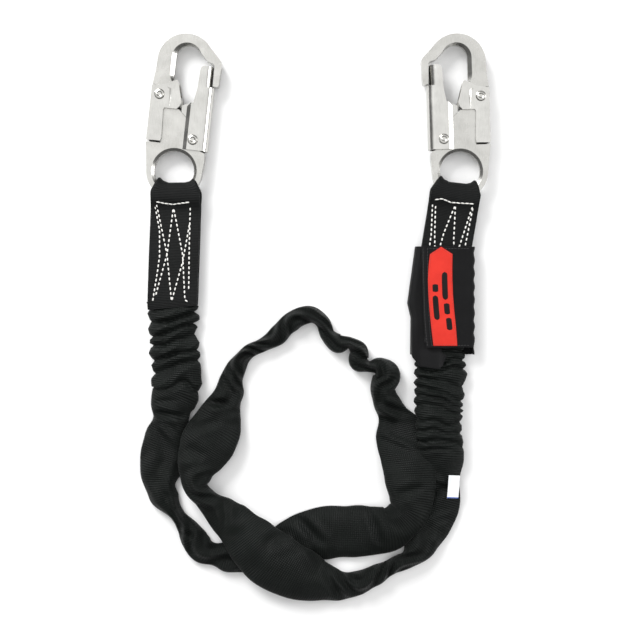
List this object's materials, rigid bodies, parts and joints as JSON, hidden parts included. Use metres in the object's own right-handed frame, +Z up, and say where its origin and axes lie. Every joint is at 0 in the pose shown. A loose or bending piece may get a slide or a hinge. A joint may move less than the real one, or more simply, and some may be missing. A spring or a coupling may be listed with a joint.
{
  "type": "shock absorbing lanyard",
  "caption": "Fall-arrest lanyard: double-locking snap hooks on sewn webbing ends, joined by a gathered tubular jacket over a tear core, with a wrap-round label cover.",
  "frame": {"origin": "middle of the lying lanyard's footprint, on the surface it lies on", "axes": "+Z up from the surface, +Y from the loops of the jacket to the hooks, +X towards the hook with the label cover"},
  "size_m": [0.3156, 0.5105, 0.0188],
  "materials": {
    "hook_steel": "zinc plated forged steel, satin",
    "lever_steel": "zinc plated folded sheet, satin",
    "rivet_steel": "zinc plated rivet heads, bright",
    "spring_steel": "oiled spring wire",
    "webbing": "tight woven polyester webbing",
    "white_thread": "thick lock-stitch thread",
    "jacket_fabric": "ribbed tubular webbing, soft sheen",
    "core_webbing": "partially drawn polyester core webbing",
    "cover_fabric": "smooth coated nylon",
    "hook_and_loop": "fine pile",
    "red_tag": "smooth coated tag fabric",
    "red_thread": "thin thread",
    "label_paper": "blank synthetic label pages",
    "white_label": "plain woven label"
  },
  "bodies": {
    "lanyard": {"left_end_web": "webbing", "right_end_web": "webbing", "left_stitching": "white_thread", "right_stitching": "white_thread", "jacket": "jacket_fabric", "shock_core": "core_webbing", "label_cover_back": "cover_fabric", "cover_loop_strip": "hook_and_loop", "label_pages": "label_paper", "maker_label": "white_label"},
    "cover_flap": {"label_cover_flap": "cover_fabric", "cover_hook_strip": "hook_and_loop", "arrow_tag": "red_tag", "arrow_tag_stitching": "red_thread"},
    "left_web_loop": {"left_bight": "webbing"},
    "left_hook": {"left_hook_body": "hook_steel", "left_gate_rivet": "rivet_steel", "left_lock_rivet": "rivet_steel"},
    "left_lock": {"left_lock_lever": "lever_steel", "left_lock_spring": "spring_steel"},
    "left_gate_body": {"left_gate": "lever_steel", "left_gate_spring": "spring_steel"},
    "right_web_loop": {"right_bight": "webbing"},
    "right_hook": {"right_hook_body": "hook_steel", "right_gate_rivet": "rivet_steel", "right_lock_rivet": "rivet_steel"},
    "right_lock": {"right_lock_lever": "lever_steel", "right_lock_spring": "spring_steel"},
    "right_gate_body": {"right_gate": "lever_steel", "right_gate_spring": "spring_steel"}
  },
  "joints": [
    {"name": "left_web_flex", "type": "hinge", "parent": "lanyard", "child": "left_web_loop", "pos_m": [-0.12454, 0.09894, 0.006], "axis": [0.9994, -0.0358, 0], "range_deg": [-75, 75]},
    {"name": "left_hook_swing", "type": "hinge", "parent": "left_web_loop", "child": "left_hook", "pos_m": [-0.1256, 0.1307, 0.0094], "axis": [0, 0, 1], "range_deg": [-25, 25]},
    {"name": "left_lock_squeeze", "type": "hinge", "parent": "left_hook", "child": "left_lock", "pos_m": [-0.13818, 0.19899, 0.0094], "axis": [0, 0, 1], "range_deg": [0, 14], "stiffness_Nm_per_rad": 0.4, "springref_deg": -17.19},
    {"name": "left_gate_open", "type": "hinge", "parent": "left_hook", "child": "left_gate_body", "pos_m": [-0.1085, 0.15799, 0.0094], "axis": [0, 0, 1], "range_deg": [0, 15.5]},
    {"name": "right_web_flex", "type": "hinge", "parent": "lanyard", "child": "right_web_loop", "pos_m": [0.125, 0.09903, 0.006], "axis": [0.9874, -0.1582, 0], "range_deg": [-75, 75]},
    {"name": "right_hook_swing", "type": "hinge", "parent": "right_web_loop", "child": "right_hook", "pos_m": [0.1308, 0.1302, 0.0094], "axis": [0, 0, -1], "range_deg": [-25, 25]},
    {"name": "right_lock_squeeze", "type": "hinge", "parent": "right_hook", "child": "right_lock", "pos_m": [0.14894, 0.19723, 0.0094], "axis": [0, 0, -1], "range_deg": [0, 14], "stiffness_Nm_per_rad": 0.4, "springref_deg": -17.19},
    {"name": "right_gate_open", "type": "hinge", "parent": "right_hook", "child": "right_gate_body", "pos_m": [0.116, 0.1588, 0.0094], "axis": [0, 0, -1], "range_deg": [0, 15.5]},
    {"name": "cover_flap_open", "type": "hinge", "parent": "lanyard", "child": "cover_flap", "pos_m": [0.1432, 0.0145, 0.0158], "axis": [0, 1, 0], "range_deg": [0, 165]}
  ],
  "couplings": [
    {"joint": "left_gate_open", "follows": "left_lock_squeeze", "ratio": 1.107},
    {"joint": "right_gate_open", "follows": "right_lock_squeeze", "ratio": 1.107}
  ]
}
